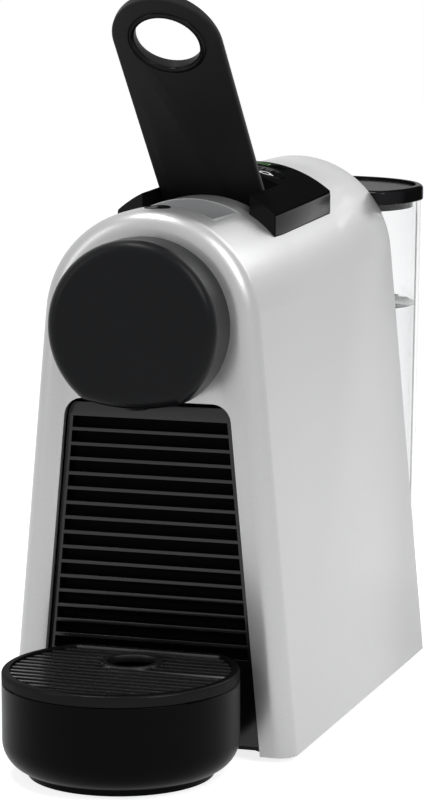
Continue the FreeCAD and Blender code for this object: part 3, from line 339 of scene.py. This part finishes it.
# one entry per finish: its group, the group's values, the shader's own values, any polish, the bump
finishes = {
    "silver_shell": {
        "group": "paintFlake",
        "values": {"Dark Flake": (0.470, 0.470, 0.475, 1), "Light Flake": (0.50, 0.50, 0.505, 1),
                   "Smooth": 0.31, "Dull": 0.37},
        "shader": {"Metallic": 0.62, "Coat Weight": 0.2, "Coat Roughness": 0.14},
        "bump": {"Strength": 0.006, "Distance": 0.02 * mm},
    },
    "gloss_black": {
        "group": "mouldGrain",
        "values": {"Grain Scale": 160.0, "Tone": (0.014, 0.014, 0.015, 1),
                   "Tone Drift": (0.018, 0.018, 0.019, 1), "Smooth": 0.10, "Dull": 0.17},
        "shader": {"Metallic": 0.6, "Specular IOR Level": 0.0, "Specular Tint": (0.12, 0.12, 0.12, 1)},
        "bump": {"Strength": 0.02, "Distance": 0.03 * mm},
    },
    "satin_black": {
        "group": "mouldGrain",
        "values": {"Grain Scale": 2600.0, "Tone": (0.0050, 0.0053, 0.0062, 1),
                   "Tone Drift": (0.0070, 0.0073, 0.0083, 1), "Smooth": 0.28, "Dull": 0.37},
        "shader": {"Specular IOR Level": 0.11},
        "bump": {"Strength": 0.08, "Distance": 0.05 * mm},
    },
    "tray_black": {
        "group": "mouldGrain",
        "values": {"Grain Scale": 2600.0, "Tone": (0.0022, 0.0023, 0.0027, 1),
                   "Tone Drift": (0.003, 0.0031, 0.0036, 1), "Smooth": 0.28, "Dull": 0.37},
        "shader": {"Specular IOR Level": 0.035},
        "bump": {"Strength": 0.08, "Distance": 0.05 * mm},
    },
    "louver_black": {
        "group": "mouldGrain",
        "values": {"Grain Scale": 2600.0, "Tone": (0.0035, 0.0036, 0.004, 1),
                   "Tone Drift": (0.005, 0.005, 0.0056, 1), "Smooth": 0.16, "Dull": 0.24},
        "shader": {"Specular IOR Level": 0.0, "Coat Roughness": 0.20, "Coat IOR": 1.5},
        "polish": {"Middle": (0, frontY + polishedEdges["slatFace"] * mm, 0), "Weights": (0, 1, 0),
                   "Polished To": 0.5 * mm, "Dull From": 1.4 * mm, "Polish": 0.80, "Dull Polish": 0.02},
        "bump": {"Strength": 0.05, "Distance": 0.04 * mm},
    },
    "grid_black": {
        "group": "mouldGrain",
        "values": {"Grain Scale": 2600.0, "Tone": (0.0035, 0.0036, 0.004, 1),
                   "Tone Drift": (0.005, 0.005, 0.0056, 1), "Smooth": 0.27, "Dull": 0.34},
        "shader": {"Specular IOR Level": 0.0, "Coat Roughness": 0.30, "Coat IOR": 1.79},
        "polish": {"Middle": (0, frontY + polishedEdges["trayAxis"] * mm, 0), "Weights": (1, 1, 0),
                   "Polished To": 38.6 * mm, "Dull From": 39.2 * mm, "Polish": 1.0, "Dull Polish": 0.10},
        "bump": {"Strength": 0.02, "Distance": 0.03 * mm},
    },
    "trim_black": {
        "group": "mouldGrain",
        "values": {"Grain Scale": 900.0, "Tone": (0.006, 0.006, 0.007, 1),
                   "Tone Drift": (0.010, 0.010, 0.011, 1), "Smooth": 0.16, "Dull": 0.24},
        "shader": {"Specular IOR Level": 0.05},
        "bump": {"Strength": 0.02, "Distance": 0.03 * mm},
    },
    "lever_black": {
        "group": "mouldGrain",
        "values": {"Grain Scale": 2400.0, "Tone": (0.016, 0.016, 0.0163, 1),
                   "Tone Drift": (0.020, 0.020, 0.0203, 1), "Smooth": 0.42, "Dull": 0.52},
        "shader": {"Specular IOR Level": 0.08},
        "bump": {"Strength": 0.12, "Distance": 0.06 * mm},
    },
    "inner_black": {
        "group": "mouldGrain",
        "values": {"Grain Scale": 1500.0, "Tone": (0.012, 0.012, 0.012, 1),
                   "Tone Drift": (0.022, 0.022, 0.022, 1), "Smooth": 0.45, "Dull": 0.62},
        "shader": {"Specular IOR Level": 0.2},
        "bump": {"Strength": 0.18, "Distance": 0.1 * mm},
    },
    "grey_liner": {
        "group": "mouldGrain",
        "values": {"Grain Scale": 1700.0, "Tone": (0.27, 0.275, 0.28, 1),
                   "Tone Drift": (0.36, 0.365, 0.37, 1), "Smooth": 0.32, "Dull": 0.46},
        "shader": {},
        "bump": {"Strength": 0.08, "Distance": 0.06 * mm},
    },
    "steel": {
        "group": "drawnLines",
        "values": {"Dark": (0.40, 0.40, 0.40, 1), "Light": (0.62, 0.62, 0.62, 1)},
        "shader": {"Metallic": 1.0},
        "bump": {"Strength": 0.05, "Distance": 0.04 * mm},
    },
    "aluminium": {
        "group": "mouldGrain",
        "values": {"Grain Scale": 700.0, "Tone": (0.46, 0.46, 0.47, 1),
                   "Tone Drift": (0.62, 0.62, 0.63, 1), "Smooth": 0.42, "Dull": 0.62},
        "shader": {"Metallic": 1.0},
        "bump": {"Strength": 0.35, "Distance": 0.2 * mm},
    },
    "winding": {
        "group": "drawnLines",
        "values": {"Line Scale": 1400.0, "Dark": (0.11, 0.035, 0.012, 1), "Light": (0.32, 0.12, 0.045, 1),
                   "Smooth": 0.3, "Dull": 0.5},
        "shader": {"Metallic": 0.4},
        "bump": {"Strength": 0.4, "Distance": 0.2 * mm},
    },
    "board": {
        "group": "mouldGrain",
        "values": {"Grain Scale": 900.0, "Drift Scale": 90.0, "Tone": (0.006, 0.07, 0.03, 1),
                   "Tone Drift": (0.015, 0.15, 0.06, 1), "Smooth": 0.25, "Dull": 0.4},
        "shader": {},
        "bump": {"Strength": 0.12, "Distance": 0.1 * mm},
    },
    "soft_rubber": {
        "group": "mouldGrain",
        "values": {"Grain Scale": 1100.0, "Tone": (0.010, 0.010, 0.010, 1),
                   "Tone Drift": (0.024, 0.024, 0.023, 1), "Smooth": 0.6, "Dull": 0.8},
        "shader": {"Specular IOR Level": 0.3},
        "bump": {"Strength": 0.22, "Distance": 0.1 * mm},
    },
    "tube": {
        "group": "mouldGrain",
        "values": {"Grain Scale": 500.0, "Tone": (0.42, 0.42, 0.39, 1),
                   "Tone Drift": (0.55, 0.55, 0.52, 1), "Smooth": 0.3, "Dull": 0.45},
        "shader": {},
        "bump": {"Strength": 0.05, "Distance": 0.1 * mm},
    },
    "lens": {
        "group": "mouldGrain",
        "values": {"Grain Scale": 900.0, "Tone": (0.004, 0.006, 0.005, 1),
                   "Tone Drift": (0.006, 0.009, 0.007, 1), "Smooth": 0.05, "Dull": 0.1},
        "shader": {"Metallic": 0.6, "Specular IOR Level": 0.0, "Specular Tint": (0.12, 0.12, 0.12, 1)},
        "bump": {"Strength": 0.01, "Distance": 0.02 * mm},
    },
}


def setInputs(node, values):
    for label, value in values.items():
        node.inputs[label].default_value = value


def addGroup(tree, name, values):
    coords = tree.nodes.new("ShaderNodeTexCoord")
    effect = tree.nodes.new("ShaderNodeGroup")
    effect.node_tree = groups[name]
    setInputs(effect, values)
    tree.links.new(coords.outputs["Object"], effect.inputs["Vector"])
    return effect.outputs


def startFinish(name, group, values):
    material = bpy.data.materials.new(name)
    material.use_nodes = True
    tree = material.node_tree
    shader = tree.nodes["Principled BSDF"]
    effect = addGroup(tree, group, values)
    tree.links.new(effect["Roughness"], shader.inputs["Roughness"])
    return material, tree, shader, effect


def makeFinish(name, finish):
    material, tree, shader, effect = startFinish(name, finish["group"], finish["values"])
    setInputs(shader, finish["shader"])
    bump = tree.nodes.new("ShaderNodeBump")
    setInputs(bump, finish["bump"])
    tree.links.new(effect["Color"], shader.inputs["Base Color"])
    tree.links.new(effect["Height"], bump.inputs["Height"])
    tree.links.new(bump.outputs["Normal"], shader.inputs["Normal"])
    if "polish" in finish:
        polish = addGroup(tree, "edgePolish", finish["polish"])
        tree.links.new(polish["Coat"], shader.inputs["Coat Weight"])
    return material


# clear tank wall: moulded, with faint drift in its polish
clearWall = {
    "tint": (0.985, 0.988, 0.99, 1),
    # grey tint where the wall is seen edge-on: painted edge shade
    "paintedEdgeShade": (0.62, 0.63, 0.64, 1),
    "bend": 1.28,  # refractive index
    "smooth": 0.015,
    "dull": 0.06,
}
paintedEdgeShadeReach = 0.22  # how far the painted edge shade of a clear thing reaches inwards


# a clear thing is tinted darker at its edges, where it is seen edge-on: painted shade, partly the real
# dimming where it is seen through more of it
def makeClearFinish(name, look):
    roughness = {"Smooth": look["smooth"], "Dull": look["dull"]}
    material, tree, shader = startFinish(name, "mouldGrain", roughness)[:3]
    setInputs(shader, {"Transmission Weight": 1.0, "IOR": look["bend"]})
    facing = tree.nodes.new("ShaderNodeLayerWeight")
    facing.inputs["Blend"].default_value = paintedEdgeShadeReach
    mix = tree.nodes.new("ShaderNodeMix")
    mix.data_type = "RGBA"
    mix.inputs[mixFirst].default_value = look["tint"]
    mix.inputs[mixSecond].default_value = look["paintedEdgeShade"]
    tree.links.new(facing.outputs["Facing"], mix.inputs["Factor"])
    tree.links.new(mix.outputs[mixOut], shader.inputs["Base Color"])
    return material


finishMaterials = {name: makeFinish(name, finish) for name, finish in finishes.items()}
finishMaterials["clear_tank"] = makeClearFinish("clear_tank", clearWall)

bodyOf = {name: body for body, members in frame["record"]["behaviour"]["bodies"].items() for name in members}
slotOf = {entry["node"]: entry["material_slot"] for entry in frame["record"]["subparts"]}

# nodes with a finish of their own: polished slats and bars, a darker tray
ownFinish = {"louver_panel": "louver_black", "drip_grid": "grid_black", "drip_tray": "tray_black"}


def finishOf(name):
    return finishMaterials[ownFinish.get(name, slotOf[name])]


def dressNodes():
    for name in slotOf:
        mesh = nodes[name].data
        mesh.materials.clear()
        mesh.materials.append(finishOf(name))


dressNodes()
print("nodes dressed with", len(finishMaterials), "finishes")

# hand tools shared by the pieces below; lengths in millimetres, angles in degrees
handTools = {"merge": 0.005, "flat": 0.3, "sharp": 32, "smooth": 35, "facingUp": 0.9}


def at(x, y, z):
    return (x * mm, frontY + y * mm, z * mm)


def editMode(kind):
    bpy.ops.object.mode_set(mode="EDIT")
    bpy.ops.mesh.select_mode(type=kind)


def objectMode():
    bpy.ops.object.mode_set(mode="OBJECT")


def pickAll(kind):
    editMode(kind)
    bpy.ops.mesh.select_all(action="SELECT")


def pickNone(kind):
    editMode(kind)
    bpy.ops.mesh.select_all(action="DESELECT")
    objectMode()


def pickFaces(piece, test):
    pickNone("FACE")
    for face in piece.data.polygons:
        face.select = test(piece.matrix_world @ face.center, face.normal)
    editMode("FACE")


def pickEdges(piece, test):
    pickNone("EDGE")
    corners = piece.data.vertices
    for edge in piece.data.edges:
        ends = [piece.matrix_world @ corners[index].co for index in edge.vertices]
        edge.select = test(*ends)
    editMode("EDGE")


def facesUp(centre, normal):
    return normal.z > handTools["facingUp"]


def finishWith(piece, kind, **values):
    modifier = piece.modifiers.new(kind.lower(), kind)
    for label, value in values.items():
        setattr(modifier, label, value)
    bpy.ops.object.modifier_apply(modifier=modifier.name)


def roundEdges(piece, width, segments):
    finishWith(piece, "BEVEL", width=width * mm, segments=segments, limit_method="ANGLE",
               angle_limit=math.radians(handTools["sharp"]))


def dissolveFlats():
    bpy.ops.mesh.dissolve_limited(angle_limit=math.radians(handTools["flat"]))


# a node's mesh is loose triangles, so its copy is merged, and stays in edit mode for what follows
def copyNode(node, name):
    deselectAll()
    piece = bpy.data.objects.new(name, nodes[node].data.copy())
    bpy.context.scene.collection.objects.link(piece)
    bpy.context.view_layer.objects.active = piece
    piece.select_set(True)
    pickAll("VERT")
    bpy.ops.mesh.remove_doubles(threshold=handTools["merge"] * mm)
    return piece


def settle(piece, name, body, material, angle=handTools["smooth"]):
    piece.name = name
    piece.data.name = name
    bpy.ops.object.transform_apply(location=True, rotation=True, scale=True)
    bpy.ops.object.shade_smooth_by_angle(angle=math.radians(angle))
    piece.data.materials.clear()
    piece.data.materials.append(material)
    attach(piece, body)


# mould edges: each sharp edge of these nodes gets a small round, in millimetres
softEdges = {
    "louver_panel": 0.42,
    "drip_grid": 0.75,
    "capsule_chute": 0.40,
    "outer_shell": 0.30,
    "lever": 0.30,
    "coffee_spout": 0.25,
    "tank_dock": 0.40,
    "button_1": 0.35,
    "button_2": 0.35,
}
softSegments = 3


def softenNode(name, width):
    piece = copyNode(name, name + "Soft")
    dissolveFlats()
    objectMode()
    roundEdges(piece, width, softSegments)
    settle(piece, name + "Soft", bodyOf[name], finishOf(name))
    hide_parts(name)


for nodeName, edgeWidth in softEdges.items():
    softenNode(nodeName, edgeWidth)
print("soft edges on", len(softEdges), "nodes")

# water standing in the tank
water = {
    "centre": 210.2,
    "floor": 22.4,
    "level": 141.0,
    "footRadius": 39.45,
    "topRadius": 41.0,
    "sides": 96,
    "front": 186.6,
    "cornerRound": 4.4,
    "cornerSegments": 6,
    "nearFlat": 0.01,
    "tallShare": 0.9,
    "edgeWidth": 1.4,
    "edgeRise": 0.7,
    "tint": (0.97, 0.975, 0.98, 1),
    # grey tint where the water is seen edge-on: painted edge shade, partly the real dimming through more
    # water
    "paintedEdgeShade": (0.50, 0.51, 0.52, 1),
    "bend": 1.33,  # refractive index
    "smooth": 0.0,
    "dull": 0.03,
}


def pourWater():
    deselectAll()
    middle = (water["floor"] + water["level"]) / 2
    depth = (water["level"] - water["floor"]) * mm
    bpy.ops.mesh.primitive_cylinder_add(vertices=water["sides"], radius=water["footRadius"] * mm, depth=depth,
                                        location=at(0, water["centre"], middle))
    piece = bpy.context.object
    pickFaces(piece, facesUp)
    grow = water["topRadius"] / water["footRadius"]
    bpy.ops.transform.resize(value=(grow, grow, 1))
    bpy.ops.mesh.select_all(action="SELECT")
    bpy.ops.mesh.bisect(plane_co=at(0, water["front"], 0), plane_no=(0, -1, 0), use_fill=True,
                        clear_outer=True)
    flatY = at(0, water["front"] + water["nearFlat"], 0)[1]
    tall = depth * water["tallShare"]
    pickEdges(piece, lambda a, b: max(a.y, b.y) < flatY and abs(a.z - b.z) > tall)  # the flat's two corners
    bpy.ops.mesh.bevel(offset=water["cornerRound"] * mm, segments=water["cornerSegments"], affect="EDGES")
    pickFaces(piece, facesUp)
    bpy.ops.mesh.inset(thickness=water["edgeWidth"] * mm)
    bpy.ops.transform.translate(value=(0, 0, -water["edgeRise"] * mm))  # water climbs a little at the wall
    objectMode()
    settle(piece, "tankWater", "water_tank", makeClearFinish("stillWater", water))


pourWater()
print("water poured")

# lit and printed signs on the deck
signs = {
    "white": {"tone": (0.80, 0.80, 0.79, 1), "glow": 0.15},
    "green": {"tone": (0.10, 0.30, 0.07, 1), "glow": 0.3},
    "grainScale": 3000.0,
    "driftScale": 500.0,
    "driftShade": 0.85,
    "hover": 215,
    "lift": 0.03,
    "skin": 0.10,
}


def makeSignFinish(name, sign):
    shade = [part * signs["driftShade"] for part in sign["tone"][:3]] + [1]
    values = {"Grain Scale": signs["grainScale"], "Drift Scale": signs["driftScale"], "Tone": sign["tone"],
              "Tone Drift": shade}
    material, tree, shader, effect = startFinish(name, "mouldGrain", values)
    tree.links.new(effect["Color"], shader.inputs["Base Color"])
    tree.links.new(effect["Color"], shader.inputs["Emission Color"])
    shader.inputs["Emission Strength"].default_value = sign["glow"]
    return material


# a flat piece hovering above a node drops on to it and gets a thin skin
def layOn(piece, node):
    finishWith(piece, "SHRINKWRAP", target=nodes[node], wrap_method="PROJECT", use_project_z=True,
               use_negative_direction=True, use_positive_direction=False, offset=signs["lift"] * mm)
    finishWith(piece, "SOLIDIFY", thickness=signs["skin"] * mm, offset=1)


# a cup seen from above, with its handle, on each button
cupSigns = {
    "left_button": {"node": "button_1", "place": (-9.0, 98.8), "radius": 1.8},
    "right_button": {"node": "button_2", "place": (13.2, 98.4), "radius": 2.3},
}
cupShape = {"sides": 64, "line": 0.55, "handleFrom": 0.96, "handle": 0.8}


def printCup(body, sign, material):
    deselectAll()
    x, y = sign["place"]
    bpy.ops.mesh.primitive_circle_add(vertices=cupShape["sides"], radius=sign["radius"] * mm,
                                      fill_type="NGON", location=at(x, y, signs["hover"]))
    piece = bpy.context.object
    pickAll("FACE")
    bpy.ops.mesh.inset(thickness=cupShape["line"] * mm)
    bpy.ops.mesh.delete(type="FACE")
    objectMode()
    edge = (x + sign["radius"] * cupShape["handleFrom"]) * mm
    pickEdges(piece, lambda a, b: a.x > edge and b.x > edge)
    bpy.ops.mesh.extrude_edges_move(TRANSFORM_OT_translate={"value": (cupShape["handle"] * mm, 0, 0)})
    objectMode()
    layOn(piece, sign["node"])
    settle(piece, body + "Cup", body, material)


# a thin lit line round a long field on the status lens
litLine = {"across": 17.0, "along": 3.4, "place": 119.0, "line": 0.3, "cellsAcross": 64, "cellsAlong": 16}


def drawLitLine(material):
    deselectAll()
    bpy.ops.mesh.primitive_grid_add(x_subdivisions=litLine["cellsAcross"],
                                    y_subdivisions=litLine["cellsAlong"], size=1,
                                    location=at(0, litLine["place"], signs["hover"]))
    piece = bpy.context.object
    piece.scale = (litLine["across"] * mm, litLine["along"] * mm, 1)
    bpy.ops.object.transform_apply(location=True, rotation=True, scale=True)
    halfAcross = (litLine["across"] / 2 - litLine["line"]) * mm
    halfAlong = (litLine["along"] / 2 - litLine["line"]) * mm
    middle = at(0, litLine["place"], 0)[1]
    pickFaces(piece, lambda centre, normal: abs(centre.x) < halfAcross and abs(centre.y - middle) < halfAlong)
    bpy.ops.mesh.delete(type="FACE")
    objectMode()
    layOn(piece, "status_lens")
    settle(piece, "litLine", "machine", material)


whiteSign = makeSignFinish("whiteSign", signs["white"])
for buttonBody, cup in cupSigns.items():
    printCup(buttonBody, cup, whiteSign)
drawLitLine(makeSignFinish("greenSign", signs["green"]))
print("signs laid on the deck")

# flat black oval with a raised rim in front of the capsule slot, in place of a small recess: its black is
# painted shade
recessShadeOval = {
    "place": (-0.2, 12.6),
    "halfAcross": 4.6,
    "halfAlong": 5.8,
    "sides": 72,
    "rim": 0.6,
    "rimRise": 0.15,
    "rimFacing": 0.5,
    "innerRings": (0.8, 1.0, 1.0),
}


def setRecessShadeOval():
    deselectAll()
    x, y = recessShadeOval["place"]
    bpy.ops.mesh.primitive_circle_add(vertices=recessShadeOval["sides"], radius=recessShadeOval["halfAcross"] * mm,
                                      fill_type="NGON", location=at(x, y, signs["hover"]))
    piece = bpy.context.object
    stretch = recessShadeOval["halfAlong"] / recessShadeOval["halfAcross"]
    piece.scale = (1, stretch, 1)
    pickAll("FACE")
    for ring in (recessShadeOval["rim"], *recessShadeOval["innerRings"]):
        bpy.ops.mesh.inset(thickness=ring * mm)
    objectMode()
    layOn(piece, "outer_shell")
    middle = at(x, y, 0)
    rimFrom = (recessShadeOval["halfAcross"] - recessShadeOval["rim"]) * mm

    def onRim(centre, normal):
        away = math.hypot(centre.x - middle[0], (centre.y - middle[1]) / stretch)
        return normal.z > recessShadeOval["rimFacing"] and away > rimFrom

    pickFaces(piece, onRim)
    bpy.ops.mesh.extrude_region_move(TRANSFORM_OT_translate={"value": (0, 0, recessShadeOval["rimRise"] * mm)})
    objectMode()
    settle(piece, "recessShadeOval", "machine", finishMaterials["gloss_black"])


setRecessShadeOval()
print("window set")

# rolled rim round the lever's finger hole, on its underside
fingerRim = {
    "centre": (0, 22.66, 255.2),
    "radius": 13.35,
    "bead": 1.1,
    "flatten": 0.75,
    "turn": -49.0,
    "segments": 96,
    "beadSegments": 20,
    "smooth": 60,
}


def rollFingerRim():
    deselectAll()
    bpy.ops.mesh.primitive_torus_add(major_radius=fingerRim["radius"] * mm,
                                     minor_radius=fingerRim["bead"] * mm,
                                     major_segments=fingerRim["segments"],
                                     minor_segments=fingerRim["beadSegments"])
    piece = bpy.context.object
    pickAll("VERT")
    bpy.ops.transform.resize(value=(1, 1, fingerRim["flatten"]))
    objectMode()
    piece.rotation_euler = (math.radians(fingerRim["turn"]), 0, 0)
    piece.location = at(*fingerRim["centre"])
    settle(piece, "fingerRim", "lever", finishMaterials["gloss_black"], fingerRim["smooth"])


rollFingerRim()
print("finger rim rolled")

# upright shield behind the lever's notch, which keeps the control board out of sight
notchShield = {
    "place": 92.1,
    "middle": 156.7,
    "radius": 38.0,
    "sides": 128,
    "low": 177.0,
    "thick": 0.7,
    "edge": 0.15,
    "edgeSegments": 2,
}


def setShield():
    deselectAll()
    bpy.ops.mesh.primitive_cylinder_add(vertices=notchShield["sides"], radius=notchShield["radius"] * mm,
                                        depth=notchShield["thick"] * mm, rotation=(math.radians(90), 0, 0),
                                        location=at(0, notchShield["place"], notchShield["middle"]))
    piece = bpy.context.object
    bpy.ops.object.transform_apply(location=True, rotation=True, scale=True)
    pickAll("FACE")
    bpy.ops.mesh.bisect(plane_co=at(0, 0, notchShield["low"]), plane_no=(0, 0, -1), use_fill=True,
                        clear_outer=True)
    objectMode()
    roundEdges(piece, notchShield["edge"], notchShield["edgeSegments"])
    settle(piece, "notchShield", "machine", finishMaterials["inner_black"])


setShield()
print("shield set")

# polished plate on each side face of the deck; the last two values find that face
sideTrim = {"inset": 0.45, "proud": 0.3, "edge": 0.22, "edgeSegments": 3, "facing": 0.999, "within": 0.05}


def plateSide(side, name):
    piece = copyNode("top_deck", name)
    objectMode()
    face = max(abs(corner.co.x) for corner in piece.data.vertices) - sideTrim["within"] * mm
    pickFaces(piece, lambda centre, normal: normal.x * side < sideTrim["facing"] or centre.x * side < face)
    bpy.ops.mesh.delete(type="FACE")
    bpy.ops.mesh.select_all(action="SELECT")
    dissolveFlats()
    bpy.ops.mesh.select_all(action="SELECT")
    bpy.ops.mesh.inset(thickness=sideTrim["inset"] * mm)
    bpy.ops.mesh.select_all(action="INVERT")
    bpy.ops.mesh.delete(type="FACE")
    objectMode()
    finishWith(piece, "SOLIDIFY", thickness=sideTrim["proud"] * mm, offset=1)
    roundEdges(piece, sideTrim["edge"], sideTrim["edgeSegments"])
    settle(piece, name, "machine", finishMaterials["trim_black"])


plateSide(1, "deckPlateRight")
plateSide(-1, "deckPlateLeft")
print("side plates set")
